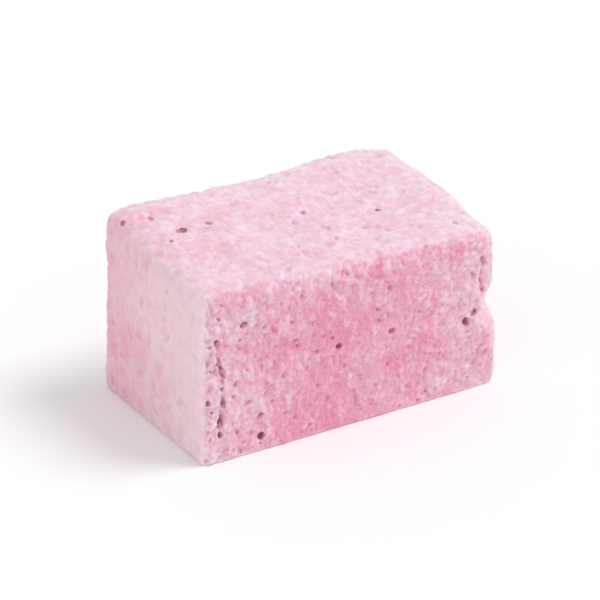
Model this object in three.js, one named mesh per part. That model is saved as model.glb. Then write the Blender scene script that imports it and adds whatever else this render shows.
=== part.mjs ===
// A hand-cut block of pink marshmallow, lying on its flat underside.
// Millimetres, +Z up. The origin is under the middle of the block, on the surface that it rests on.
//
// The block was cut from a thick slab. Its two ends, left (-X) and right (+X), are the slab's smooth
// skins. Its front (-Y), back (+Y) and top were cut freehand, so they lean a little and show open bubbles.

import * as THREE from "three";
import { ImprovedNoise } from "three/addons/math/ImprovedNoise.js";
import { mergeVertices } from "three/addons/utils/BufferGeometryUtils.js";

const { degToRad, lerp, seededRandom, smoothstep } = THREE.MathUtils;

// Driving dimensions
const LENGTH = 42; // skin to skin
const WIDTH = 25; // front cut to back cut
const HEIGHT = 23.1; // underside to the middle of the top

// The six faces: outward direction, distance from the block's middle, and how far the face strays
// from square, as turns about X, Y and Z in degrees
const FACES = {
  left: { outward: [-1, 0, 0], reach: LENGTH / 2, turn: [0, 0.9, 0] },
  right: { outward: [1, 0, 0], reach: LENGTH / 2, turn: [0, -1.1, -0.6] },
  front: { outward: [0, -1, 0], reach: WIDTH / 2, turn: [0.4, 0, 0.1] },
  back: { outward: [0, 1, 0], reach: WIDTH / 2, turn: [-0.6, 0, 0] },
  top: { outward: [0, 0, 1], reach: HEIGHT / 2, turn: [4.6, 1.7, 0] },
  base: { outward: [0, 0, -1], reach: HEIGHT / 2, turn: [0, 0, 0] },
};

// Rounding of each edge: knife cuts are crisp, the skins' upper edges are slumped, the foot is pressed flat
const EDGE_RADII = {
  "left top": 3.0,
  "right top": 2.4,
  "front top": 1.9,
  "back top": 1.6,
  "left front": 0.8,
  "right front": 1.6,
  "left back": 1.6,
  "right back": 1.6,
  "left base": 0.4,
  "right base": 0.5,
  "front base": 0.4,
  "back base": 0.4,
};
const EDGE_BLEND = 2.5; // distance over which one edge's rounding passes into the next

// Soft unevenness of the whole surface: wavelength and height of each layer of noise
const SWELLS = [
  { wavelength: 15, height: 0.42 },
  { wavelength: 5.5, height: 0.2 },
];
const FLAT_FOOT = { from: 0, to: 6 }; // relief fades out between these heights, so the base is flat

// Large shapes on the edges, as hollows (positive depth) and swellings (negative depth)
const EDGE_SHAPES = [
  { name: "notch in the right front edge", at: [21, -12.5, 11.2], radius: 2.5, depth: 2.0 },
  { name: "swelling under the notch", at: [21, -12.5, 6.5], radius: 4.5, depth: -0.4 },
  { name: "full rim over the right end", at: [21, 0, HEIGHT], radius: 10, depth: -0.35 },
  { name: "dip in the back rim", at: [-2, 12.5, HEIGHT], radius: 10, depth: 0.55 },
  { name: "rise in the back rim", at: [12.5, 12.5, HEIGHT], radius: 6, depth: -0.45 },
  { name: "hollow of the left end", at: [-21, 11, 17], radius: 7, depth: 0.4 },
];

// The largest open bubbles on the front, as [along the length, height, radius]
const FRONT_BUBBLES = [
  [-2.1, 11.2, 0.6],
  [-13.0, 2.2, 0.55],
  [-15.4, 17.6, 0.6],
  [5.5, 11.4, 0.55],
  [17.4, 10.5, 0.75],
  [16.3, 9.6, 0.75],
];
// and on the top, as [along the length, across the width, radius]
const TOP_BUBBLES = [
  [-14.9, 2.8, 0.8],
  [-19.6, 8.4, 0.55],
  [-16.8, 6.9, 0.5],
  [-11.0, 3.1, 0.55],
  [-1.4, -1.0, 0.55],
];
const BUBBLE_DEPTH = 1.7; // of a bubble's radius

// Smaller bubbles are scattered: one in each cell of a grid, off its middle by a share of the cell
const SCATTER = { cell: 7.4, jitter: 0.36, smallest: 0.5, largest: 0.7, margin: 2.2, seed: 11 };
const SKIN_CELL = 12; // the skins have fewer
const CLEARANCE = 1.3; // of the radii of two bubbles, between their middles

// Ragged grooves up the front, as rows of small hollows: the tear beside the left edge, and the groove
// behind the thin lip that stands above the notch
const TEAR = { along: -18.5, from: 3.6, to: 16.2, step: 0.95, wander: 0.45, radius: 0.62, seed: 5 };
const LIP_GROOVE = { along: 18.6, from: 13.8, to: 17.6, step: 0.9, wander: 0.15, radius: 0.6, seed: 8 };
const GROOVE_VARY = 0.2; // share by which the hollows differ in radius

// Fineness of the facets: the longest edge on a flat face, the edges on a rounding and in a bubble as a
// share of its radius, and how fast they may grow with the distance from it
const LONGEST_EDGE = 3.2;
const FINEST_ROUNDING_EDGE = 0.95;
const EDGE_SHARE = 1.0;
const BUBBLE_SHARE = 0.8;
const GROWTH = 1.2;
const SPLIT_ROUNDS = 5;

const CORE_INSET = 5; // the rays that find the surface start on a box this far inside
const RAY_LENGTH = 13;
const RAY_STEPS = 40;
const FOOT_SNAP = 1e-3; // heights under this belong to the flat base

const MIDDLE = new THREE.Vector3(0, 0, HEIGHT / 2);
const BOX_SIZE = new THREE.Vector3(LENGTH, WIDTH, HEIGHT);
const CORE = new THREE.Box3().setFromCenterAndSize(MIDDLE, BOX_SIZE.clone().subScalar(2 * CORE_INSET));
const noise = new ImprovedNoise();

// A face's plane, with its normal pointing out of the block.
function planeOf({ outward, reach, turn }) {
  const direction = new THREE.Vector3(...outward);
  const through = MIDDLE.clone().addScaledVector(direction, reach);
  const normal = direction.applyEuler(new THREE.Euler(...turn.map(degToRad)));
  return new THREE.Plane().setFromNormalAndCoplanarPoint(normal, through);
}

const FACE_NAMES = Object.keys(FACES);
const PLANES = FACE_NAMES.map((name) => planeOf(FACES[name]));
const EDGES = Object.entries(EDGE_RADII).map(([names, radius]) => {
  const [a, b] = names.split(" ").map((name) => FACE_NAMES.indexOf(name));
  return { a, b, radius };
});

// How far a point is above each face, negative inside.
function heightsAbove(point) {
  return PLANES.map((plane) => plane.distanceToPoint(point));
}

// The rounding that applies near a point: the mean of the edges' radii, each weighted by its nearness.
function roundingNear(heights) {
  let total = 0;
  let weighted = 0;
  for (const { a, b, radius } of EDGES) {
    const gap = Math.hypot(heights[a], heights[b]) / EDGE_BLEND;
    const weight = Math.exp(-gap * gap) + Number.EPSILON;
    total += weight;
    weighted += weight * radius;
  }
  return weighted / total;
}

// Signed distance to the plain block with its rounded edges.
function plainDistance(point) {
  const heights = heightsAbove(point);
  const radius = roundingNear(heights);
  return Math.hypot(...heights.map((height) => Math.max(height + radius, 0))) - radius;
}

// How far the soft unevenness lifts the surface at a point.
function swellAt({ x, y, z }) {
  let lift = 0;
  for (const { wavelength, height } of SWELLS) {
    lift += height * noise.noise(x / wavelength, y / wavelength, z / wavelength);
  }
  return lift * smoothstep(z, FLAT_FOOT.from, FLAT_FOOT.to);
}

// A smooth bowl: 1 at its middle, 0 from its rim outwards.
function bowl(share) {
  return share >= 1 ? 0 : (1 - share * share) ** 2;
}

// Signed distance to the block with its unevenness and the hollows given.
function hollowedDistance(point, hollows) {
  let distance = plainDistance(point) - swellAt(point);
  for (const { centre, radius, depth } of hollows) {
    distance += depth * bowl(point.distanceTo(centre) / radius);
  }
  return distance;
}

// The point of the surface that belongs to a point of the enclosing box.
function surfacePoint(boxPoint, hollows) {
  const start = boxPoint.clone().clamp(CORE.min, CORE.max);
  const outward = boxPoint.clone().sub(start).normalize();
  let inside = 0;
  let outside = RAY_LENGTH;
  const point = new THREE.Vector3();
  for (let step = 0; step < RAY_STEPS; step++) {
    const middle = (inside + outside) / 2;
    point.copy(start).addScaledVector(outward, middle);
    if (hollowedDistance(point, hollows) < 0) {
      inside = middle;
    } else {
      outside = middle;
    }
  }
  if (Math.abs(point.z) < FOOT_SNAP) {
    point.z = 0;
  }
  return point;
}

// A hollow centred on the surface, at a point of the enclosing box.
function hollowAt(boxPoint, radius, depth) {
  return { centre: surfacePoint(new THREE.Vector3(...boxPoint), []), radius, depth };
}

function bubbleAt(boxPoint, radius) {
  return hollowAt(boxPoint, radius, radius * BUBBLE_DEPTH);
}

// Points of the enclosing box: on its front, and on its top.
const onFront = (along, height) => [along, -WIDTH / 2, height];
const onTop = (along, across) => [along, across, HEIGHT];

// The sides with bubbles: their size, and where a place counted from a side's middle is on the box.
const SIDES = [
  { size: [LENGTH, HEIGHT], cell: SCATTER.cell, place: (u, v) => onFront(u, v + HEIGHT / 2) },
  { size: [LENGTH, HEIGHT], cell: SCATTER.cell, place: (u, v) => [u, WIDTH / 2, v + HEIGHT / 2] },
  { size: [LENGTH, WIDTH], cell: SCATTER.cell, place: onTop },
  { size: [WIDTH, HEIGHT], cell: SKIN_CELL, place: (u, v) => [-LENGTH / 2, u, v + HEIGHT / 2] },
  { size: [WIDTH, HEIGHT], cell: SKIN_CELL, place: (u, v) => [LENGTH / 2, u, v + HEIGHT / 2] },
];

// One bubble in each cell of a grid over a side, clear of the side's edges.
function scatteredBubbles({ size, cell, place }) {
  const [across, up] = size.map((side) => side - 2 * SCATTER.margin);
  const [columns, rows] = [across, up].map((side) => Math.round(side / cell));
  const shift = () => lerp(-SCATTER.jitter, SCATTER.jitter, seededRandom());
  const bubbles = [];
  for (let row = 0; row < rows; row++) {
    for (let column = 0; column < columns; column++) {
      const u = ((column + 0.5 + shift()) / columns - 0.5) * across;
      const v = ((row + 0.5 + shift()) / rows - 0.5) * up;
      const radius = lerp(SCATTER.smallest, SCATTER.largest, seededRandom() ** 2);
      bubbles.push(bubbleAt(place(u, v), radius));
    }
  }
  return bubbles;
}

// A wandering row of small hollows up the front, which run together into a ragged groove.
function grooveUpFront({ along, from, to, step, wander, radius, seed }) {
  seededRandom(seed);
  const hollows = [];
  for (let height = from; height <= to; height += step) {
    const place = onFront(along + lerp(-wander, wander, seededRandom()), height);
    hollows.push(bubbleAt(place, radius * lerp(1 - GROOVE_VARY, 1 + GROOVE_VARY, seededRandom())));
  }
  return hollows;
}

function areApart(one, other) {
  return one.centre.distanceTo(other.centre) > CLEARANCE * (one.radius + other.radius);
}

function allHollows() {
  const shapes = EDGE_SHAPES.map(({ at, radius, depth }) => hollowAt(at, radius, depth));
  const chosen = [
    ...FRONT_BUBBLES.map(([along, height, radius]) => bubbleAt(onFront(along, height), radius)),
    ...TOP_BUBBLES.map(([along, across, radius]) => bubbleAt(onTop(along, across), radius)),
    ...grooveUpFront(TEAR),
    ...grooveUpFront(LIP_GROOVE),
  ];
  seededRandom(SCATTER.seed);
  const scattered = SIDES.flatMap(scatteredBubbles);
  const loose = scattered.filter((bubble) => chosen.every((other) => areApart(bubble, other)));
  return [...shapes, ...chosen, ...loose];
}

// The edge length that the surface needs at a point, finer near roundings and bubbles.
function wantedEdge(point, hollows) {
  const heights = heightsAbove(point);
  const radius = roundingNear(heights);
  const depthBelowNextFace = -[...heights].sort((p, q) => q - p)[1];
  const fromRounding = Math.max(depthBelowNextFace - radius, 0);
  const onRounding = Math.max(EDGE_SHARE * radius, FINEST_ROUNDING_EDGE);
  let wanted = Math.min(LONGEST_EDGE, onRounding + GROWTH * fromRounding);
  for (const hollow of hollows) {
    const fromRim = Math.max(point.distanceTo(hollow.centre) - hollow.radius, 0);
    wanted = Math.min(wanted, BUBBLE_SHARE * hollow.radius + GROWTH * fromRim);
  }
  return wanted;
}

// A triangle cut at the middles of those of its edges that have one.
function splitTriangle([a, b, c], middleOf) {
  const [ab, bc, ca] = [middleOf(a, b), middleOf(b, c), middleOf(c, a)];
  if (ab && bc && ca) return [[a, ab, ca], [ab, b, bc], [ca, bc, c], [ab, bc, ca]];
  if (ab && bc) return [[ab, b, bc], [a, ab, bc], [a, bc, c]];
  if (ab && !ca) return [[a, ab, c], [ab, b, c]];
  if (bc || ca) return splitTriangle([b, c, a], middleOf);
  return [[a, b, c]];
}

// The block's surface: a box of even cells, moved onto the block and split until it is fine enough.
function blockGeometry(hollows) {
  const cells = BOX_SIZE.toArray().map((side) => Math.ceil(side / LONGEST_EDGE));
  const box = new THREE.BoxGeometry(...BOX_SIZE.toArray(), ...cells).translate(...MIDDLE.toArray());
  box.deleteAttribute("normal");
  box.deleteAttribute("uv");
  const merged = mergeVertices(box);
  const onBox = [];
  const onBlock = [];
  const addVertex = (boxPoint) => {
    onBlock.push(surfacePoint(boxPoint, hollows));
    return onBox.push(boxPoint) - 1;
  };
  const position = merged.getAttribute("position");
  for (let i = 0; i < position.count; i++) {
    addVertex(new THREE.Vector3().fromBufferAttribute(position, i));
  }
  const index = [...merged.index.array];
  let triangles = [];
  for (let i = 0; i < index.length; i += 3) {
    triangles.push(index.slice(i, i + 3));
  }

  for (let round = 0; round < SPLIT_ROUNDS; round++) {
    const middles = new Map();
    const middleOf = (a, b) => {
      const key = a < b ? `${a} ${b}` : `${b} ${a}`;
      if (!middles.has(key)) {
        const halfway = onBlock[a].clone().lerp(onBlock[b], 0.5);
        const tooLong = onBlock[a].distanceTo(onBlock[b]) > wantedEdge(halfway, hollows);
        middles.set(key, tooLong ? addVertex(onBox[a].clone().lerp(onBox[b], 0.5)) : undefined);
      }
      return middles.get(key);
    };
    triangles = triangles.flatMap((triangle) => splitTriangle(triangle, middleOf));
  }

  const geometry = new THREE.BufferGeometry().setFromPoints(onBlock).setIndex(triangles.flat());
  geometry.computeBoundingBox();
  const { x, y } = geometry.boundingBox.getCenter(new THREE.Vector3());
  geometry.translate(-x, -y, 0);
  geometry.computeVertexNormals();
  return geometry;
}

const marshmallow = new THREE.Mesh(
  blockGeometry(allHollows()),
  new THREE.MeshStandardMaterial({ color: 0xe9b7c9, roughness: 0.95, metalness: 0 }),
);
marshmallow.name = "marshmallow";

const part = new THREE.Group();
part.add(marshmallow);

export default part;
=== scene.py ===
"""A hand-cut block of pink marshmallow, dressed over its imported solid.

The block's two ends are the smooth, dusted skins of the slab that it was cut from. Its front, back and
top are cut faces of open foam. Lengths are in metres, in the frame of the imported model.
"""

import logging
import math
import random
from dataclasses import dataclass, field
from enum import Enum

import bpy
import numpy as np
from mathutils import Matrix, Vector, noise
from mathutils.bvhtree import BVHTree


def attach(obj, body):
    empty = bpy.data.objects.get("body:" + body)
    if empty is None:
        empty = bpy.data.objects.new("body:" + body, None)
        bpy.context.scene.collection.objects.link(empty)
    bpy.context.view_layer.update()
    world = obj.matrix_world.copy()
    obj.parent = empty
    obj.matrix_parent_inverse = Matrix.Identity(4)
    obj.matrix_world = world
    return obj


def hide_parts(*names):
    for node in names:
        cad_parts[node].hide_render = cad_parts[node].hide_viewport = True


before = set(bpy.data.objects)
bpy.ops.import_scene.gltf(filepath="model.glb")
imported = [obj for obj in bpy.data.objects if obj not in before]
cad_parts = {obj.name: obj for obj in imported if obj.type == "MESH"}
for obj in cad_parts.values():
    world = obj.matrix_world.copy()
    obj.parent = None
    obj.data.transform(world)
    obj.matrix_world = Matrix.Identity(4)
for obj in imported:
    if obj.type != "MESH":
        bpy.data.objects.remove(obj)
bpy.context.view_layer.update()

MM = 0.001
NODE = "marshmallow"
PIECE = "marshmallow_block"
PORE_ATTRIBUTE = "pore_depth"
DUST_ATTRIBUTE = "dust_cover"
SKIN_ATTRIBUTE = "skin_share"
ABOVE_FOOT = "above the foot"
OPEN_FOAM = "open foam"
SKINS = "skins"
TORN_STRIP = "torn strip"

log = logging.getLogger("marshmallow")

Colour = tuple[float, float, float]
Range = tuple[float, float]

WHITE: Colour = (1.0, 1.0, 1.0)
FULL: Range = (0.0, 1.0)
UPRIGHT = math.pi / 2
SMOOTHING = 0.5
LEAST_WEIGHT = 1e-9
WEIGHT_STEPS = 40
NOISE_RANGE: Range = (0.3, 0.7)
MIX_INPUTS = (0, 6, 7)
MIX_RESULT = 2


class Side(Enum):
    """A side of the block: its outward direction and its own two directions."""

    LEFT = ((-1, 0, 0), (0, 1, 0), (0, 0, 1))
    RIGHT = ((1, 0, 0), (0, 1, 0), (0, 0, 1))
    FRONT = ((0, -1, 0), (1, 0, 0), (0, 0, 1))
    BACK = ((0, 1, 0), (1, 0, 0), (0, 0, 1))
    TOP = ((0, 0, 1), (1, 0, 0), (0, 1, 0))
    BASE = ((0, 0, -1), (1, 0, 0), (0, 1, 0))

    @property
    def outward(self) -> Vector:
        """The direction that the side faces."""
        return Vector(self.value[0])

    @property
    def along(self) -> Vector:
        """The side's first direction."""
        return Vector(self.value[1])

    @property
    def up(self) -> Vector:
        """The side's second direction."""
        return Vector(self.value[2])


@dataclass(frozen=True)
class Hole:
    """An open bubble that is large enough to be cut by itself.

    Attributes:
        side: The side that it opens on.
        along: Its place along the side's first direction, from the block's middle.
        up: Its place along the side's second direction, a height on the upright sides.
        radius: Half its width.
        stretch: Its length as a share of its width.
        turn: How far its length is turned from the side's first direction, in radians.
        sink: How far its middle is below the surface, as a share of its radius.
    """

    side: Side
    along: float
    up: float
    radius: float
    stretch: float = 1.0
    turn: float = 0.0
    sink: float = 0.45


@dataclass(frozen=True)
class Bubbles:
    """One size of bubble in the foam, opened where a cut passes through it.

    Attributes:
        name: The layer's name.
        cell: Mean distance between bubbles.
        reach: Radius of a bubble, as a share of the cell.
        depth: How deep the cut leaves it. A negative depth is a crumb that stands up.
        group: The vertex group that it is on.
    """

    name: str
    cell: float
    reach: float
    depth: float
    group: str = OPEN_FOAM


@dataclass(frozen=True)
class Lumps:
    """Soft unevenness of the surface.

    Attributes:
        name: The layer's name.
        group: The vertex group that it is on.
        wavelength: Size of the lumps.
        height: Height of the lumps from hollow to crest.
        tall: How many times taller than wide the lumps are.
        creased: Whether sharp creases part the lumps.
    """

    name: str
    group: str
    wavelength: float
    height: float
    tall: float = 1.0
    creased: bool = False


@dataclass(frozen=True)
class PitRow:
    """A broken row of small holes up the front, each drawn from these ranges.

    Attributes:
        stray: How far a hole is from the row's line.
        radii: Half its width.
        stretches: Its length as a share of its width.
        steps: The height from one hole to the next.
    """

    stray: Range
    radii: Range
    stretches: Range
    steps: Range


@dataclass(frozen=True)
class Spots:
    """A soft random pattern of colour or relief.

    Attributes:
        size: Size of the spots.
        detail: How many finer layers the pattern has.
        swing: How far it goes to either side of 0.
        squeeze: Scale of its heights, less than 1 for tall spots.
    """

    size: float
    detail: float
    swing: float
    squeeze: float = 1.0


def only_select(*objects: bpy.types.Object) -> None:
    """Select these objects alone and make the first one active.

    Args:
        objects: The objects that the next operator acts on.
    """
    if bpy.context.object and bpy.context.object.mode != "OBJECT":
        bpy.ops.object.mode_set(mode="OBJECT")
    bpy.ops.object.select_all(action="DESELECT")
    for item in objects:
        item.select_set(True)
    bpy.context.view_layer.objects.active = objects[0]


def add_modifier(piece: bpy.types.Object, kind: str, **settings: object) -> None:
    """Add a modifier with its settings and apply it.

    Args:
        piece: The mesh object to change.
        kind: The modifier's type name.
        settings: The modifier's properties.
    """
    modifier = piece.modifiers.new(kind.title(), kind)
    for name, value in settings.items():
        setattr(modifier, name, value)
    only_select(piece)
    bpy.ops.object.modifier_apply(modifier=modifier.name)


def smoothstep(values: np.ndarray, low: float, high: float) -> np.ndarray:
    """Ease from 0 at the low value to 1 at the high one.

    Args:
        values: The values to ease.
        low: Where the result leaves 0.
        high: Where the result reaches 1.

    Returns:
        The eased values.
    """
    share = np.clip((values - low) / (high - low), 0.0, 1.0)
    return share * share * (3.0 - 2.0 * share)


def vertex_arrays(piece: bpy.types.Object) -> tuple[np.ndarray, np.ndarray]:
    """Read a mesh's vertices.

    Args:
        piece: The mesh object to read.

    Returns:
        The places and the normals, one row for each vertex.
    """
    count = len(piece.data.vertices)
    places = np.empty(count * 3, np.float32)
    normals = np.empty(count * 3, np.float32)
    piece.data.vertices.foreach_get("co", places)
    piece.data.vertices.foreach_get("normal", normals)
    return places.reshape(-1, 3), normals.reshape(-1, 3)


def crest_heights(piece: bpy.types.Object, rounds: int) -> np.ndarray:
    """Measure how far each vertex stands out from the surface around it.

    Args:
        piece: The mesh object to read.
        rounds: How many rings of neighbours count as around it.

    Returns:
        One height for each vertex, negative in hollows.
    """
    places, normals = vertex_arrays(piece)
    ends = np.empty(len(piece.data.edges) * 2, np.int32)
    piece.data.edges.foreach_get("vertices", ends)
    first, second = ends[0::2], ends[1::2]
    neighbours = np.bincount(ends, minlength=len(places))
    smooth = places.astype(float)
    for _ in range(rounds):
        columns = []
        for column in smooth.T:
            total = np.bincount(first, column[second], len(places))
            total += np.bincount(second, column[first], len(places))
            columns.append(total / neighbours)
        smooth = np.stack(columns, axis=1)
    return ((places - smooth) * normals).sum(axis=1)


@dataclass
class MarshmallowBlock:
    """The block: a leaning, rounded slab piece whose cut faces are open foam."""

    # The form: its size, the lean of its top and its pressed foot
    length: float = 42 * MM
    width: float = 25 * MM
    height: float = 23.1 * MM
    top_fall: float = math.tan(math.radians(1.7))
    top_rise: float = math.tan(math.radians(4.6))
    largest_rounding: float = 3.0 * MM
    rounding_segments: int = 8
    settling: float = 0.3 * MM
    base_height: float = 0.02 * MM
    foot_from: float = 0.05 * MM
    foot_to: float = 0.6 * MM
    # The meshes: their cells, their rounds of smoothing and the limit of triangles
    form_cell: float = 0.4 * MM
    form_smoothing: int = 5
    fine_cell: float = 0.135 * MM
    fine_smoothing: int = 2
    last_cell: float = 0.1 * MM
    most_triangles: int = 196_000
    # The cutters of the single holes, with ragged walls
    cutter_cell: float = 0.1 * MM
    cutter_subdivisions: int = 3
    ragged_size: float = 0.4 * MM
    ragged_height: float = 0.32 * MM
    ragged_level: float = 0.4
    # The foam's bubbles, and how depths become the pore attribute
    foam_sharpness: float = 4.0
    bubble_distortion: float = 0.5
    bubble_contrast: float = 0.5
    bubble_intensity: float = 1.25
    bubble_wall_stops: tuple[float, ...] = (0.25, 0.5, 0.75)
    full_pore: float = 0.40 * MM
    full_crest: float = 0.16 * MM
    crest_rounds: int = 5
    attribute_range: Range = (-2.0, 3.0)
    # The tear, its largest gaps as (height, radius, stretch), and the strip that it leaves
    tear_along: float = -18.5 * MM
    tear_sway: float = 0.9 * MM
    tear_wave: float = 2.6 * MM
    tear_from: float = 3.4 * MM
    tear_to: float = 16.2 * MM
    tear_lean: float = 0.9
    tear_row: PitRow = PitRow(
        stray=(-0.12 * MM, 0.12 * MM),
        radii=(0.2 * MM, 0.34 * MM),
        stretches=(1.3, 2.4),
        steps=(0.5 * MM, 1.0 * MM),
    )
    tear_gap_sink: float = 0.6
    tear_gaps: tuple[tuple[float, float, float], ...] = (
        (15.9 * MM, 0.32 * MM, 1.5),
        (12.1 * MM, 0.34 * MM, 1.8),
        (9.9 * MM, 0.3 * MM, 1.4),
        (8.0 * MM, 0.38 * MM, 1.6),
        (5.4 * MM, 0.44 * MM, 2.0),
        (3.6 * MM, 0.32 * MM, 1.3),
    )
    strip_row: PitRow = PitRow(
        stray=(-0.2 * MM, 0.3 * MM),
        radii=(0.2 * MM, 0.3 * MM),
        stretches=(1.0, 1.8),
        steps=(0.8 * MM, 1.7 * MM),
    )
    strip_edge: float = -20.1 * MM
    strip_blur: float = 0.4 * MM
    strip_facing: Range = (0.5, 0.9)
    strip_samples: int = 200
    # The groove behind the lip
    groove_along: float = 18.6 * MM
    groove_heights: tuple[float, ...] = (13.6 * MM, 14.6 * MM, 15.7 * MM, 16.8 * MM, 17.6 * MM)
    groove_stray: float = 0.15 * MM
    groove_lean: float = 0.3
    groove_radius: float = 0.28 * MM
    groove_stretch: float = 2.0
    # The strewn holes
    seed: int = 7
    strewn_margin: float = 2.5 * MM
    strewn_smallest: float = 0.18 * MM
    strewn_spread: float = 0.2 * MM
    strewn_stretches: Range = (1.0, 1.6)
    # The dust, and how it thickens across the sides
    dust_sharpness: float = 3.0
    skin_sharpness: float = 2.0
    strip_dust: float = 0.22
    top_drift: float = 0.12
    skin_drift_forward: float = 1.2
    skin_drift_up: float = 0.3
    rubbed_dust: float = 0.28
    rubbed_from: float = 16.0 * MM
    rubbed_to: float = 3.0 * MM
    clean_under_top: float = 7.0 * MM
    # What differs from side to side, and the layers of relief
    roundings: dict[tuple[Side, Side], float] = field(
        default_factory=lambda: {
            (Side.LEFT, Side.TOP): 3.0 * MM,
            (Side.RIGHT, Side.TOP): 2.4 * MM,
            (Side.FRONT, Side.TOP): 1.9 * MM,
            (Side.BACK, Side.TOP): 1.6 * MM,
            (Side.LEFT, Side.FRONT): 0.8 * MM,
            (Side.RIGHT, Side.FRONT): 1.6 * MM,
            (Side.LEFT, Side.BACK): 1.6 * MM,
            (Side.RIGHT, Side.BACK): 1.6 * MM,
            (Side.LEFT, Side.BASE): 0.4 * MM,
            (Side.RIGHT, Side.BASE): 0.5 * MM,
            (Side.FRONT, Side.BASE): 0.4 * MM,
            (Side.BACK, Side.BASE): 0.4 * MM,
        }
    )
    strewn_counts: dict[Side, int] = field(
        default_factory=lambda: {Side.FRONT: 7, Side.BACK: 20, Side.TOP: 10, Side.RIGHT: 3}
    )
    openness: dict[Side, float] = field(
        default_factory=lambda: {
            Side.FRONT: 1.0,
            Side.BACK: 1.0,
            Side.TOP: 0.42,
            Side.LEFT: 0.14,
            Side.RIGHT: 0.14,
            Side.BASE: 0.0,
        }
    )
    dusting: dict[Side, float] = field(
        default_factory=lambda: {
            Side.FRONT: 0.32,
            Side.BACK: 0.32,
            Side.TOP: 0.84,
            Side.LEFT: 0.9,
            Side.RIGHT: 0.9,
            Side.BASE: 0.6,
        }
    )
    skin: dict[Side, float] = field(
        default_factory=lambda: {side: float(side in (Side.LEFT, Side.RIGHT)) for side in Side}
    )
    foam: tuple[Bubbles, ...] = (
        Bubbles("dimples", 3.4 * MM, 0.28, 0.26 * MM, ABOVE_FOOT),
        Bubbles("large bubbles", 2.6 * MM, 0.20, 0.34 * MM),
        Bubbles("middling bubbles", 1.25 * MM, 0.34, 0.18 * MM),
        Bubbles("fine bubbles", 0.70 * MM, 0.46, 0.13 * MM),
        Bubbles("crumbs", 1.9 * MM, 0.18, -0.16 * MM),
        Bubbles("fine crumbs", 1.05 * MM, 0.24, -0.12 * MM),
    )
    lumps: tuple[Lumps, ...] = (
        Lumps("broad lumps", ABOVE_FOOT, 3.0 * MM, 0.34 * MM),
        Lumps("small lumps", ABOVE_FOOT, 1.6 * MM, 0.34 * MM),
        Lumps("knobs", OPEN_FOAM, 1.1 * MM, 0.16 * MM),
        Lumps("curds", OPEN_FOAM, 0.85 * MM, 0.38 * MM, creased=True),
        Lumps("drawn skin", SKINS, 1.7 * MM, 0.16 * MM, tall=5.0),
        Lumps("torn crumbs", TORN_STRIP, 1.3 * MM, 0.5 * MM, creased=True),
    )

    def build(self) -> bpy.types.Object:
        """Model the block.

        Returns:
            The finished piece, without its material.
        """
        form = self._form()
        log.info("form: %d faces", len(form.data.polygons))
        piece = self._copy_of(form, PIECE)
        self._cut_holes(piece, form)
        add_modifier(piece, "REMESH", mode="VOXEL", voxel_size=self.fine_cell)
        add_modifier(piece, "SMOOTH", factor=SMOOTHING, iterations=self.fine_smoothing)
        log.info("fine mesh: %d faces", len(piece.data.polygons))
        self._roughen(piece)
        add_modifier(piece, "REMESH", mode="VOXEL", voxel_size=self.last_cell)
        self._thin(piece)
        self._flatten_base(piece)
        self._mark(piece, form)
        bpy.data.objects.remove(form)
        return piece

    def _form(self) -> bpy.types.Object:
        """Model the block without its bubbles.

        Returns:
            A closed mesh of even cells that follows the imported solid.
        """
        bpy.ops.object.select_all(action="DESELECT")
        bpy.ops.mesh.primitive_cube_add(
            size=1.0,
            location=(0.0, 0.0, self.height / 2),
            scale=(self.length, self.width, self.height),
        )
        block = bpy.context.active_object
        bpy.ops.object.transform_apply(location=True, rotation=False, scale=True)
        self._lean_top(block)
        self._round_edges(block)
        add_modifier(block, "REMESH", mode="VOXEL", voxel_size=self.form_cell)
        add_modifier(block, "SHRINKWRAP", target=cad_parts[NODE])
        places, _ = vertex_arrays(block)
        self._weigh(block, ABOVE_FOOT, smoothstep(places[:, 2], self.foot_from, self.foot_to))
        add_modifier(
            block,
            "SMOOTH",
            factor=SMOOTHING,
            iterations=self.form_smoothing,
            vertex_group=ABOVE_FOOT,
        )
        block.vertex_groups.clear()
        self._settle(block)
        return block

    def _settle(self, block: bpy.types.Object) -> None:
        """Press the soft foot flat, as the block's weight does.

        Args:
            block: The block without bubbles.
        """
        places, _ = vertex_arrays(block)
        pressed = self.settling * (1.0 - smoothstep(places[:, 2], 0.0, self.foot_to))
        places[:, 2] = np.maximum(places[:, 2] - pressed, 0.0)
        block.data.vertices.foreach_set("co", places.ravel())
        block.data.update()

    def _lean_top(self, block: bpy.types.Object) -> None:
        """Lean the top: it falls to the right and rises to the back.

        Args:
            block: The square block.
        """
        for corner in [v.co.copy() for v in block.data.vertices if v.co.z > self.height / 2]:
            only_select(block)
            for vertex in block.data.vertices:
                vertex.select = (vertex.co - corner).length < self.form_cell
            bpy.ops.object.mode_set(mode="EDIT")
            lift = corner.y * self.top_rise - corner.x * self.top_fall
            bpy.ops.transform.translate(value=(0.0, 0.0, lift))
            bpy.ops.object.mode_set(mode="OBJECT")

    def _round_edges(self, block: bpy.types.Object) -> None:
        """Round each edge by its own radius.

        Args:
            block: The leaning block, still sharp.
        """
        weights = block.data.attributes.new("bevel_weight_edge", "FLOAT", "EDGE")
        middle = Vector((0.0, 0.0, self.height / 2))
        for edge in block.data.edges:
            ends = [block.data.vertices[i].co - middle for i in edge.vertices]
            sides = [s for s in Side if all(end.dot(s.outward) > 0 for end in ends)]
            radius = next(r for pair, r in self.roundings.items() if set(pair) == set(sides))
            weights.data[edge.index].value = radius / self.largest_rounding
        add_modifier(
            block,
            "BEVEL",
            width=self.largest_rounding,
            segments=self.rounding_segments,
            limit_method="WEIGHT",
            use_clamp_overlap=False,
        )

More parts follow.
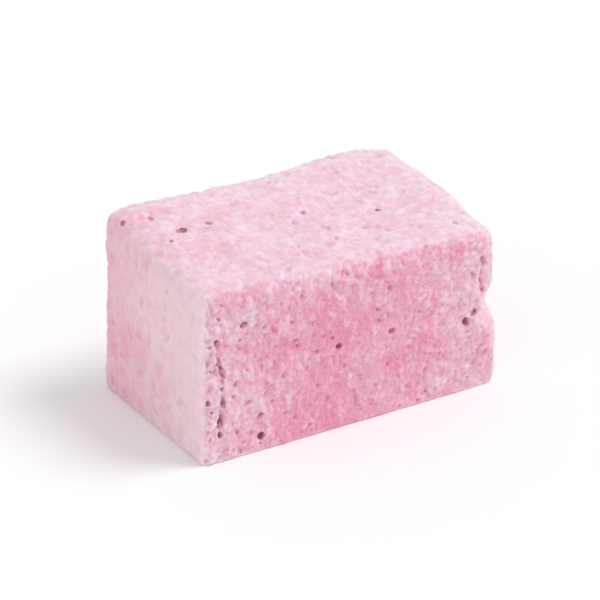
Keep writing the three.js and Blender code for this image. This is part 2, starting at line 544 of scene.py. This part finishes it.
    def _copy_of(self, source: bpy.types.Object, name: str) -> bpy.types.Object:
        """Copy a mesh object with its own mesh.

        Args:
            source: The object to copy.
            name: The copy's name.

        Returns:
            The copy.
        """
        only_select(source)
        bpy.ops.object.duplicate(linked=False)
        copy = bpy.context.active_object
        copy.name = name
        copy.data.name = name
        return copy

    def _holes(self) -> list[Hole]:
        """List the holes that are cut one by one.

        Returns:
            The holes of all sides.
        """
        front = Side.FRONT
        top = Side.TOP
        chosen = [
            Hole(front, -2.1 * MM, 11.2 * MM, 0.36 * MM, stretch=1.4, turn=0.7),
            Hole(front, -3.2 * MM, 12.6 * MM, 0.26 * MM, stretch=1.4, turn=0.9),
            Hole(front, -5.1 * MM, 11.3 * MM, 0.24 * MM),
            Hole(front, -13.0 * MM, 2.0 * MM, 0.40 * MM, stretch=1.3, turn=1.2, sink=0.5),
            Hole(front, -15.4 * MM, 17.5 * MM, 0.36 * MM, stretch=1.4, turn=0.6),
            Hole(front, -12.6 * MM, 16.6 * MM, 0.24 * MM, stretch=1.8, turn=0.9),
            Hole(front, -18.8 * MM, 19.2 * MM, 0.28 * MM, stretch=1.5, turn=1.9),
            Hole(front, 5.5 * MM, 11.3 * MM, 0.3 * MM, stretch=1.5, turn=0.5),
            Hole(front, 6.7 * MM, 11.8 * MM, 0.24 * MM),
            Hole(front, -11.6 * MM, 6.4 * MM, 0.22 * MM, stretch=1.5),
            Hole(front, -16.4 * MM, 3.5 * MM, 0.28 * MM),
            Hole(front, 17.4 * MM, 10.5 * MM, 0.5 * MM, stretch=1.3, turn=0.8),
            Hole(front, 16.3 * MM, 9.6 * MM, 0.46 * MM, stretch=1.4, turn=1.9),
            Hole(top, -14.9 * MM, 2.8 * MM, 0.36 * MM, stretch=2.4, turn=0.3, sink=0.5),
            Hole(top, -19.8 * MM, 8.4 * MM, 0.34 * MM, stretch=1.3),
            Hole(top, -16.8 * MM, 6.8 * MM, 0.28 * MM),
            Hole(top, -17.7 * MM, 0.6 * MM, 0.37 * MM),
            Hole(top, -11.0 * MM, 3.0 * MM, 0.3 * MM, stretch=1.4, turn=2.4),
            Hole(top, -1.3 * MM, -1.0 * MM, 0.34 * MM, stretch=1.3),
        ]
        return chosen + self._tear() + self._groove() + self._strewn_holes()

    def _tear(self) -> list[Hole]:
        """The ragged tear that runs up the front beside its left edge.

        Returns:
            A broken chain of narrow holes, with a few more in the strip that it leaves.
        """
        draw = random.Random(self.seed)
        holes = []
        row = self.tear_row
        height = self.tear_from
        while height < self.tear_to:
            along = self._tear_at(height) + draw.uniform(*row.stray)
            radius = draw.uniform(*row.radii)
            turn = UPRIGHT + draw.uniform(-self.tear_lean, self.tear_lean)
            stretch = draw.uniform(*row.stretches)
            holes.append(Hole(Side.FRONT, along, height, radius, stretch, turn))
            height += draw.uniform(*row.steps)
        row = self.strip_row
        height = self.tear_from
        while height < self.tear_to:
            along = self.strip_edge + draw.uniform(*row.stray)
            turn = UPRIGHT + draw.uniform(-self.tear_lean, self.tear_lean)
            radius = draw.uniform(*row.radii)
            stretch = draw.uniform(*row.stretches)
            holes.append(Hole(Side.FRONT, along, height, radius, stretch, turn))
            height += draw.uniform(*row.steps)
        for height, radius, stretch in self.tear_gaps:
            along = self._tear_at(height)
            holes.append(Hole(Side.FRONT, along, height, radius, stretch, UPRIGHT, self.tear_gap_sink))
        return holes

    def _tear_at(self, height: float) -> float:
        """The tear's place along the front at a height."""
        sway = noise.noise(Vector((0.5, 0.5, height / self.tear_wave)))
        return self.tear_along + self.tear_sway * sway

    def _groove(self) -> list[Hole]:
        """The groove behind the thin lip that stands above the notch.

        Returns:
            A short chain of tall holes.
        """
        draw = random.Random(self.seed + 1)
        holes = []
        for height in self.groove_heights:
            along = self.groove_along + draw.uniform(-self.groove_stray, self.groove_stray)
            turn = UPRIGHT + draw.uniform(-self.groove_lean, self.groove_lean)
            holes.append(Hole(Side.FRONT, along, height, self.groove_radius, self.groove_stretch, turn))
        return holes

    def _strewn_holes(self) -> list[Hole]:
        """Larger bubbles strewn over the front, the back, the top and the right end.

        Returns:
            The holes, with none close to a side's edge.
        """
        draw = random.Random(self.seed + 2)
        margin = self.strewn_margin
        holes = []
        for side, count in self.strewn_counts.items():
            half_along = (self.length if side.along.x else self.width) / 2 - margin
            for _ in range(count):
                along = draw.uniform(-half_along, half_along)
                if side is Side.TOP:
                    up = draw.uniform(margin - self.width / 2, self.width / 2 - margin)
                else:
                    up = draw.uniform(margin, self.height - 2 * margin)
                radius = self.strewn_smallest + self.strewn_spread * draw.random() ** 2
                stretch = draw.uniform(*self.strewn_stretches)
                turn = draw.uniform(0.0, math.pi)
                holes.append(Hole(side, along, up, radius, stretch, turn))
        return holes

    def _cut_holes(self, piece: bpy.types.Object, form: bpy.types.Object) -> None:
        """Cut the large holes out of the piece.

        Args:
            piece: The piece to cut.
            form: The block without bubbles, on whose surface the holes are placed.
        """
        cutters = []
        for hole in self._holes():
            outside = hole.side.along * hole.along + hole.side.up * hole.up
            outside += hole.side.outward * self.length
            found, place, _, _ = form.ray_cast(outside, -hole.side.outward)
            if not found:
                continue
            place = place - hole.side.outward * hole.radius * hole.sink
            direction = hole.side.along * math.cos(hole.turn) + hole.side.up * math.sin(hole.turn)
            bpy.ops.object.select_all(action="DESELECT")
            bpy.ops.mesh.primitive_ico_sphere_add(
                subdivisions=self.cutter_subdivisions,
                radius=hole.radius,
                location=place,
                rotation=direction.to_track_quat("X", "Z").to_euler(),
                scale=(hole.stretch, 1.0, 1.0),
            )
            cutters.append(bpy.context.active_object)
        only_select(*cutters)
        bpy.ops.object.join()
        cutter = bpy.context.active_object
        bpy.ops.object.transform_apply(location=True, rotation=True, scale=True)
        add_modifier(cutter, "REMESH", mode="VOXEL", voxel_size=self.cutter_cell)
        ragged = bpy.data.textures.new("ragged holes", "CLOUDS")
        ragged.noise_scale = self.ragged_size
        add_modifier(
            cutter,
            "DISPLACE",
            texture=ragged,
            texture_coords="LOCAL",
            strength=self.ragged_height,
            mid_level=self.ragged_level,
        )
        add_modifier(piece, "BOOLEAN", object=cutter, operation="DIFFERENCE", solver="MANIFOLD")
        bpy.data.objects.remove(cutter)

    def _side_shares(
        self, normals: np.ndarray, shares: dict[Side, float], sharpness: float
    ) -> np.ndarray:
        """Blend a value of each side over the vertices by the way they face.

        Args:
            normals: The directions that the vertices face.
            shares: The value of each side.
            sharpness: How quickly one side's value gives way to the next.

        Returns:
            One value for each vertex.
        """
        total = np.zeros(len(normals))
        weight = np.full(len(normals), LEAST_WEIGHT)
        for side, share in shares.items():
            facing = np.clip(normals @ np.array(side.outward), 0.0, 1.0) ** sharpness
            total += facing * share
            weight += facing
        return total / weight

    def _roughen(self, piece: bpy.types.Object) -> None:
        """Make the surface uneven and open the foam's bubbles on the cut faces.

        Args:
            piece: The piece, in fine even cells.
        """
        places, normals = vertex_arrays(piece)
        foot = smoothstep(places[:, 2], self.foot_from, self.foot_to)
        self._weigh(piece, ABOVE_FOOT, foot)
        openness = self._side_shares(normals, self.openness, self.foam_sharpness)
        self._weigh(piece, OPEN_FOAM, openness * foot)
        skin = self._side_shares(normals, self.skin, self.foam_sharpness)
        self._weigh(piece, SKINS, skin * foot)
        self._weigh(piece, TORN_STRIP, self._strip(places, normals) * foot)
        for layer in self.lumps:
            self._raise_lumps(piece, layer)
        for layer in self.foam:
            add_modifier(
                piece,
                "DISPLACE",
                texture=self._bubble_texture(layer),
                texture_coords="LOCAL",
                strength=layer.depth,
                mid_level=1.0,
                vertex_group=layer.group,
            )

    def _raise_lumps(self, piece: bpy.types.Object, layer: Lumps) -> None:
        """Raise one layer of lumps.

        Args:
            piece: The piece, in fine even cells.
            layer: The lumps' size and place.
        """
        texture = bpy.data.textures.new(layer.name, "CLOUDS")
        texture.noise_scale = layer.wavelength
        texture.noise_depth = 1
        texture.noise_type = "HARD_NOISE" if layer.creased else "SOFT_NOISE"
        bpy.ops.object.empty_add()
        ruler = bpy.context.active_object
        ruler.scale.z = layer.tall
        bpy.context.view_layer.update()
        add_modifier(
            piece,
            "DISPLACE",
            texture=texture,
            texture_coords="OBJECT",
            texture_coords_object=ruler,
            strength=layer.height,
            mid_level=0.5,
            vertex_group=layer.group,
        )
        bpy.data.objects.remove(ruler)

    def _weigh(self, piece: bpy.types.Object, name: str, weights: np.ndarray) -> None:
        """Store weights in a vertex group.

        Args:
            piece: The mesh object.
            name: The group's name.
            weights: One weight from 0 to 1 for each vertex.
        """
        group = piece.vertex_groups.new(name=name)
        levels = np.round(np.clip(weights, 0.0, 1.0) * WEIGHT_STEPS).astype(int)
        for level in range(1, WEIGHT_STEPS + 1):
            group.add(np.flatnonzero(levels == level).tolist(), level / WEIGHT_STEPS, "REPLACE")

    def _bubble_texture(self, layer: Bubbles) -> bpy.types.Texture:
        """Make the texture whose value falls to 0 in round hollows.

        Args:
            layer: The bubbles' size.

        Returns:
            The texture, 1 between the bubbles.
        """
        texture = bpy.data.textures.new(layer.name, "DISTORTED_NOISE")
        texture.noise_basis = "VORONOI_F1"
        texture.noise_scale = layer.cell
        texture.distortion = self.bubble_distortion
        texture.contrast = self.bubble_contrast
        texture.intensity = self.bubble_intensity
        texture.use_color_ramp = True
        ramp = texture.color_ramp
        ramp.interpolation = "LINEAR"
        ramp.elements[1].position = layer.reach
        for share in self.bubble_wall_stops:
            ramp.elements.new(share * layer.reach)
        for element in ramp.elements:
            level = (element.position / layer.reach) ** 2
            element.color = (level, level, level, 1.0)
        return texture

    def _thin(self, piece: bpy.types.Object) -> None:
        """Bring the mesh under its number of triangles, which merges flat cells first.

        Args:
            piece: The piece to thin.
        """
        triangles = sum(len(face.vertices) - 2 for face in piece.data.polygons)
        if triangles > self.most_triangles:
            add_modifier(piece, "DECIMATE", ratio=self.most_triangles / triangles)
        log.info("triangles: %d, thinned from %d", len(piece.data.polygons), triangles)

    def _flatten_base(self, piece: bpy.types.Object) -> None:
        """Lay the base flat on the floor and shade it apart from the rounded sides.

        Args:
            piece: The thinned piece.
        """
        places, _ = vertex_arrays(piece)
        places[places[:, 2] < self.base_height, 2] = 0.0
        piece.data.vertices.foreach_set("co", places.ravel())
        piece.data.update()
        only_select(piece)
        bpy.ops.object.shade_smooth()
        for face in piece.data.polygons:
            face.use_smooth = any(places[index, 2] > 0.0 for index in face.vertices)

    def _mark(self, piece: bpy.types.Object, form: bpy.types.Object) -> None:
        """Store what the finish needs: pore depth, dust cover and skin share of each vertex.

        Args:
            piece: The finished mesh.
            form: The block without bubbles.
        """
        tree = BVHTree.FromObject(form, bpy.context.evaluated_depsgraph_get())
        places, _ = vertex_arrays(piece)
        depths = np.zeros(len(places))
        facings = np.zeros((len(places), 3))
        for index, place in enumerate(places):
            spot, normal, _, _ = tree.find_nearest(Vector(place))
            depths[index] = (spot - Vector(place)).dot(normal)
            facings[index] = normal
        pores = depths / self.full_pore - crest_heights(piece, self.crest_rounds) / self.full_crest
        dust = self._side_shares(facings, self.dusting, self.dust_sharpness)
        dust += self.strip_dust * self._strip(places, facings)
        skin = self._side_shares(facings, self.skin, self.skin_sharpness)
        dust += self._drift(places, facings, skin)
        for name, values in ((PORE_ATTRIBUTE, pores), (DUST_ATTRIBUTE, dust), (SKIN_ATTRIBUTE, skin)):
            attribute = piece.data.attributes.new(name, "FLOAT", "POINT")
            kept = np.clip(values, *self.attribute_range).astype(np.float32)
            attribute.data.foreach_set("value", kept)

    def _drift(self, places: np.ndarray, facings: np.ndarray, skin: np.ndarray) -> np.ndarray:
        """How the dust thickens across a side.

        It thickens to the right on the top, and on the upright cuts towards the edges that they share
        with the top and the skins, from which it is rubbed. The skins grow paler towards the front and
        the top, pinker towards the back.

        Args:
            places: The vertices' places.
            facings: The directions that the vertices face on the block without bubbles.
            skin: How far each vertex is on a skin.

        Returns:
            What is added to the dust, for each vertex.
        """
        along = 2.0 * places[:, 0] / self.length
        upwards = self.skin_drift_up * (places[:, 2] / self.height - 0.5)
        forwards = -self.skin_drift_forward * places[:, 1] / self.width
        to_top = self.height + self.clean_under_top - places[:, 2]
        to_edge = np.minimum(to_top, self.length / 2 - np.abs(places[:, 0]))
        rubbed = 2.0 * smoothstep(to_edge, self.rubbed_from, self.rubbed_to) - 1.0
        upward = np.clip(facings[:, 2], 0.0, 1.0) ** 2
        cuts = upward * along * self.top_drift + (1.0 - upward) * rubbed * self.rubbed_dust
        return (1.0 - skin) * cuts + skin * (upwards + forwards)

    def _strip(self, places: np.ndarray, facings: np.ndarray) -> np.ndarray:
        """The pale strip of the front between its left edge and the tear.

        Args:
            places: The vertices' places.
            facings: The directions that the vertices face on the block without bubbles.

        Returns:
            1 in the strip and 0 elsewhere, for each vertex.
        """
        heights = np.linspace(0.0, self.height, self.strip_samples)
        tear = np.interp(places[:, 2], heights, [self._tear_at(height) for height in heights])
        inside = 1.0 - smoothstep(places[:, 0] - tear, -self.strip_blur, self.strip_blur)
        return inside * smoothstep(-facings[:, 1], *self.strip_facing)


class NodeBench:
    """A material's node tree, with short calls to add and join its nodes."""

    def __init__(self, material: bpy.types.Material) -> None:
        """Empty the material's tree and keep it.

        Args:
            material: The material to work on.
        """
        material.use_nodes = True
        self.tree = material.node_tree
        self.tree.nodes.clear()

    def add(
        self, kind: str, inputs: dict[str | int, object] | None = None, **settings: object
    ) -> bpy.types.Node:
        """Add a node.

        Args:
            kind: The node's type name, without the leading ShaderNode.
            inputs: What each input socket holds: a value, or an output socket to join to it.
            settings: The node's own properties.

        Returns:
            The node.
        """
        node = self.tree.nodes.new("ShaderNode" + kind)
        for name, value in settings.items():
            setattr(node, name, value)
        for name, value in (inputs or {}).items():
            if isinstance(value, bpy.types.NodeSocket):
                self.tree.links.new(value, node.inputs[name])
            else:
                node.inputs[name].default_value = value
        return node

    def blend(self, factor: bpy.types.NodeSocket, low: object, high: object) -> bpy.types.NodeSocket:
        """Mix two colours.

        Args:
            factor: 0 for the low colour, 1 for the high one.
            low: A colour or an output socket.
            high: A colour or an output socket.

        Returns:
            The mixed colour.
        """
        mix = self.add("Mix", data_type="RGBA")
        for index, value in zip(MIX_INPUTS, (factor, low, high)):
            if isinstance(value, bpy.types.NodeSocket):
                self.tree.links.new(value, mix.inputs[index])
            else:
                mix.inputs[index].default_value = (*value, 1.0)
        return mix.outputs[MIX_RESULT]

    def math(self, operation: str, first: object, second: object) -> bpy.types.NodeSocket:
        """Work out a number.

        Args:
            operation: The Math node's operation.
            first: A number or an output socket.
            second: A number or an output socket.

        Returns:
            The result.
        """
        return self.add("Math", {0: first, 1: second}, operation=operation).outputs[0]

    def total(self, *numbers: bpy.types.NodeSocket) -> bpy.types.NodeSocket:
        """Add several numbers.

        Args:
            numbers: The output sockets to add.

        Returns:
            Their sum.
        """
        result = numbers[0]
        for number in numbers[1:]:
            result = self.math("ADD", result, number)
        return result

    def span(self, value: bpy.types.NodeSocket, span: Range, to: Range = FULL) -> bpy.types.NodeSocket:
        """Map a range of numbers onto another, without going past its ends.

        Args:
            value: The number to map.
            span: The range that it is in.
            to: The new range.

        Returns:
            The mapped number.
        """
        return self.add("MapRange", {0: value, 1: span[0], 2: span[1], 3: to[0], 4: to[1]}).outputs[0]

    def noise(self, place: bpy.types.NodeSocket, spots: Spots) -> bpy.types.NodeSocket:
        """Make a soft random number that varies over the surface.

        Args:
            place: The point's place.
            spots: The pattern that the number follows.

        Returns:
            The number.
        """
        if spots.squeeze != 1.0:
            mapping = self.add("Mapping", {"Vector": place, "Scale": (1.0, 1.0, spots.squeeze)})
            place = mapping.outputs[0]
        texture = self.add("TexNoise", {"Vector": place, "Scale": 1 / spots.size, "Detail": spots.detail})
        return self.span(texture.outputs["Fac"], NOISE_RANGE, (-spots.swing, spots.swing))


@dataclass(frozen=True)
class MarshmallowFinish:
    """Pink sugar foam, dusted with starch that clings to the skins and the ridges between bubbles, with
    painted shade darkening its pores and hollows.
    """

    core: Colour = (0.88, 0.35, 0.49)
    blush: Colour = (0.89, 0.45, 0.58)
    # deep: the foam's pink darkened in the pores, a painted shade that grows with pore depth
    deep: Colour = (0.70, 0.18, 0.30)
    # cavity: a near-black red, painted as the shade in the deepest holes
    cavity_shade: Colour = (0.40, 0.08, 0.15)
    dust: Colour = (0.93, 0.68, 0.79)
    powder: Colour = (0.95, 0.84, 0.90)
    skin: Colour = (0.90, 0.63, 0.68)
    # hollow: a mauve-grey for random mottles in the dust and for painted shade in its hollows
    hollow: Colour = (0.68, 0.46, 0.57)
    patches: Spots = Spots(5.5 * MM, 5.0, 0.15)
    streaks: Spots = Spots(1.5 * MM, 5.0, 0.18, squeeze=0.3)
    specks: Spots = Spots(1.0 * MM, 2.0, 0.46, squeeze=0.6)
    mottles: Spots = Spots(1.3 * MM, 3.0, 0.3)
    grain: Spots = Spots(0.2 * MM, 3.0, 0.3)
    blush_span: Range = (-0.1, 0.1)
    pore_shade_span: Range = (1.3, 3.2)
    cavity_shade_span: Range = (1.9, 2.9)
    powder_span: Range = (0.9, 1.7)
    cover_span: Range = (0.4, 0.9)
    powder_on_skin: float = 0.4
    specks_under_dust: float = 0.35
    specks_on_skin: float = 0.5
    mottle_level: float = 0.13
    hollow_shade_by_pore: float = 0.15
    mottles_on_bare: float = 0.3
    mottles_on_skin: float = 0.45
    washed_by_depth: float = -0.22
    pinhole_cell: float = 0.42 * MM
    pinhole_span: Range = (0.1, 0.45)
    pinhole_depth: float = 0.5
    pinholes_under_dust: float = 0.6
    relief: float = 0.10 * MM
    relief_strength: float = 0.6
    roughness: float = 0.92
    specular: float = 0.25
    sheen: float = 0.12
    sheen_roughness: float = 0.6
    scatter_share: float = 0.55
    scatter_depth: float = 0.65 * MM
    scatter_colours: Colour = (1.0, 0.5, 0.55)

    def material(self) -> bpy.types.Material:
        """Make the material.

        Returns:
            A material that reads the block's pore, dust and skin attributes.
        """
        material = bpy.data.materials.new("marshmallow_foam")
        bench = NodeBench(material)
        place = bench.add("TexCoord").outputs["Object"]
        skin = bench.add("Attribute", attribute_name=SKIN_ATTRIBUTE).outputs["Fac"]
        cover = bench.add("Attribute", attribute_name=DUST_ATTRIBUTE).outputs["Fac"]
        pinholes = self._pinholes(bench, place, cover)
        height = bench.math("SUBTRACT", bench.noise(place, self.grain), pinholes)
        bump = bench.add(
            "Bump", {"Height": height, "Strength": self.relief_strength, "Distance": self.relief}
        )
        shader = bench.add(
            "BsdfPrincipled",
            {
                "Base Color": self._colour(bench, place, skin, cover, pinholes),
                "Roughness": self.roughness,
                "Normal": bump.outputs["Normal"],
                "Subsurface Weight": self.scatter_share,
                "Subsurface Radius": self.scatter_colours,
                "Subsurface Scale": self.scatter_depth,
                "Specular IOR Level": self.specular,
                "Sheen Weight": self.sheen,
                "Sheen Roughness": self.sheen_roughness,
            },
        )
        bench.add("OutputMaterial", {"Surface": shader.outputs["BSDF"]})
        return material

    def _pinholes(
        self, bench: NodeBench, place: bpy.types.NodeSocket, cover: bpy.types.NodeSocket
    ) -> bpy.types.NodeSocket:
        """Open the finest bubbles, too small to model, where the dust doesn't fill them.

        Args:
            bench: The material's nodes.
            place: The point's place on the block.
            cover: How much dust lies on the point.

        Returns:
            1 in the middle of an open pinhole, 0 outside.
        """
        cells = bench.add("TexVoronoi", {"Vector": place, "Scale": 1 / self.pinhole_cell})
        holes = bench.span(cells.outputs["Distance"], self.pinhole_span, (1.0, 0.0))
        left_open = bench.span(cover, self.cover_span, (1.0, self.pinholes_under_dust))
        return bench.math("MULTIPLY", holes, left_open)

    def _colour(
        self,
        bench: NodeBench,
        place: bpy.types.NodeSocket,
        skin: bpy.types.NodeSocket,
        cover: bpy.types.NodeSocket,
        pinholes: bpy.types.NodeSocket,
    ) -> bpy.types.NodeSocket:
        """Mix the foam's pink with the dust that lies on it, and paint shade into its pores and hollows.

        Args:
            bench: The material's nodes.
            place: The point's place on the block.
            skin: How far the point is skin and not a cut face.
            cover: How much dust lies on the point.
            pinholes: Where the finest bubbles are open.

        Returns:
            The surface colour.
        """
        pore = bench.add("Attribute", attribute_name=PORE_ATTRIBUTE).outputs["Fac"]
        # Pinholes count as deeper: the dust thins in them and the painted pore shade grows.
        depth = bench.math("ADD", pore, bench.math("MULTIPLY", pinholes, self.pinhole_depth))
        patches = bench.noise(place, self.patches)
        foam = bench.blend(bench.span(patches, self.blush_span), self.core, self.blush)
        # Painted shade: the foam darkens with pore depth, to a near-black red in the deepest holes
        shaded_foam = bench.blend(bench.span(depth, self.pore_shade_span), foam, self.deep)
        shaded_foam = bench.blend(bench.span(depth, self.cavity_shade_span), shaded_foam, self.cavity_shade)
        specks = bench.noise(place, self.specks)
        shown = bench.span(cover, self.cover_span, (1.0, self.specks_under_dust))
        specks = bench.math("MULTIPLY", specks, shown)
        shown = bench.span(skin, FULL, (1.0, self.specks_on_skin))
        specks = bench.math("MULTIPLY", specks, shown)
        streaks = bench.math("MULTIPLY", bench.noise(place, self.streaks), skin)
        washed = bench.math("MULTIPLY", depth, self.washed_by_depth)
        dusted = bench.total(cover, patches, specks, streaks, washed)
        dust = bench.blend(skin, self.dust, self.skin)
        thin = bench.blend(bench.span(dusted, FULL), shaded_foam, dust)
        thick = bench.span(dusted, self.powder_span)
        thick = bench.math("MULTIPLY", thick, bench.span(skin, FULL, (1.0, self.powder_on_skin)))
        coated = bench.blend(thick, thin, self.powder)
        # Random mottles in the dust, plus painted shade that grows with pore depth in the hollows
        mottles = bench.math("ADD", bench.noise(place, self.mottles), self.mottle_level)
        shaded = bench.math("ADD", mottles, bench.math("MULTIPLY", pore, self.hollow_shade_by_pore))
        shown = bench.span(cover, self.cover_span, (self.mottles_on_bare, 1.0))
        shaded = bench.math("MULTIPLY", shaded, shown)
        shown = bench.span(skin, FULL, (1.0, self.mottles_on_skin))
        shaded = bench.math("MULTIPLY", shaded, shown)
        return bench.blend(shaded, coated, self.hollow)


@dataclass(frozen=True)
class FloorFinish:
    """Plain white table top, faintly lit from below."""

    colour: Colour = (0.95, 0.95, 0.95)
    roughness: float = 0.8
    specular: float = 0.1
    glow: float = 0.03

    def material(self) -> bpy.types.Material:
        """Make the floor's material.

        Returns:
            A plain white material.
        """
        material = bpy.data.materials.new("white_floor")
        bench = NodeBench(material)
        shader = bench.add(
            "BsdfPrincipled",
            {
                "Base Color": (*self.colour, 1.0),
                "Roughness": self.roughness,
                "Specular IOR Level": self.specular,
                "Emission Color": (*WHITE, 1.0),
                "Emission Strength": self.glow,
            },
        )
        bench.add("OutputMaterial", {"Surface": shader.outputs["BSDF"]})
        return material


@dataclass(frozen=True)
class SoftLight:
    """A broad, far light that falls evenly on the whole floor.

    Attributes:
        name: The light's name.
        towards: The direction that it is in, seen from the block.
        spread: How wide it looks from the block, in radians.
        strength: How bright it makes a white surface that faces it, with 1 for white.
    """

    name: str
    towards: tuple[float, float, float]
    spread: float
    strength: float

    def build(self) -> None:
        """Hang the light."""
        bpy.ops.object.light_add(type="SUN", location=self.towards)
        lamp = bpy.context.active_object
        lamp.name = self.name
        lamp.data.angle = self.spread
        lamp.data.energy = self.strength * math.pi
        lamp.rotation_mode = "QUATERNION"
        lamp.rotation_quaternion = (-Vector(self.towards)).to_track_quat("-Z", "Y")


@dataclass
class Studio:
    """Floor, soft light and camera."""

    floor_side: float = 8.0
    floor_drop: float = 0.02 * MM
    sky_strength: float = 0.63
    lights: tuple[SoftLight, ...] = (
        SoftLight("key_light", (0.55, -0.28, 0.95), math.radians(28), 0.42),
        SoftLight("fill_light", (-0.80, -0.15, 0.50), math.radians(70), 0.10),
    )
    lens: float = 216.0
    sensor: float = 36.0
    camera_azimuth: float = math.radians(-31.45)
    camera_pitch: float = math.radians(26.67)
    camera_distance: float = 442.5 * MM
    camera_aim: tuple[float, float, float] = (0.0, 0.0, 11.5 * MM)
    camera_clip: float = 10 * MM

    def build(self) -> None:
        """Set up the floor, the lights and the camera."""
        self._floor()
        self._sky()
        for light in self.lights:
            light.build()
        self._camera()
        bpy.context.scene.view_settings.view_transform = "Standard"

    def _floor(self) -> None:
        """Lay the floor, a hair lower than the block's base."""
        bpy.ops.object.select_all(action="DESELECT")
        bpy.ops.mesh.primitive_plane_add(size=self.floor_side, location=(0.0, 0.0, -self.floor_drop))
        floor = bpy.context.active_object
        floor.name = "floor"
        floor.data.materials.append(FloorFinish().material())

    def _sky(self) -> None:
        """Light the scene evenly from all round, before a white background."""
        world = bpy.data.worlds.new("studio")
        bpy.context.scene.world = world
        world.use_nodes = True
        nodes, links = world.node_tree.nodes, world.node_tree.links
        nodes.clear()
        light = nodes.new("ShaderNodeBackground")
        light.inputs["Color"].default_value = (*WHITE, 1.0)
        light.inputs["Strength"].default_value = self.sky_strength
        backdrop = nodes.new("ShaderNodeBackground")
        backdrop.inputs["Color"].default_value = (*WHITE, 1.0)
        path = nodes.new("ShaderNodeLightPath")
        choice = nodes.new("ShaderNodeMixShader")
        output = nodes.new("ShaderNodeOutputWorld")
        links.new(path.outputs["Is Camera Ray"], choice.inputs[0])
        links.new(light.outputs[0], choice.inputs[1])
        links.new(backdrop.outputs[0], choice.inputs[2])
        links.new(choice.outputs[0], output.inputs["Surface"])

    def _camera(self) -> None:
        """Stand the camera where the photograph was taken from."""
        flat = math.cos(self.camera_pitch)
        back = Vector(
            (
                math.sin(self.camera_azimuth) * flat,
                -math.cos(self.camera_azimuth) * flat,
                math.sin(self.camera_pitch),
            )
        )
        bpy.ops.object.camera_add(location=Vector(self.camera_aim) + back * self.camera_distance)
        camera = bpy.context.active_object
        camera.rotation_mode = "QUATERNION"
        camera.rotation_quaternion = (-back).to_track_quat("-Z", "Y")
        camera.data.lens = self.lens
        camera.data.sensor_fit = "HORIZONTAL"
        camera.data.sensor_width = self.sensor
        camera.data.clip_start = self.camera_clip
        bpy.context.scene.camera = camera


def main() -> None:
    """Build the studio and the block, and report each piece."""
    logging.basicConfig(level=logging.INFO, format="%(name)s: %(message)s")
    Studio().build()
    log.info("studio: floor, lights and camera")
    block = MarshmallowBlock().build()
    block.data.materials.clear()
    block.data.materials.append(MarshmallowFinish().material())
    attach(block, "root")
    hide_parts(NODE)
    log.info("%s: %d triangles", block.name, len(block.data.polygons))


if __name__ == "__main__":
    main()
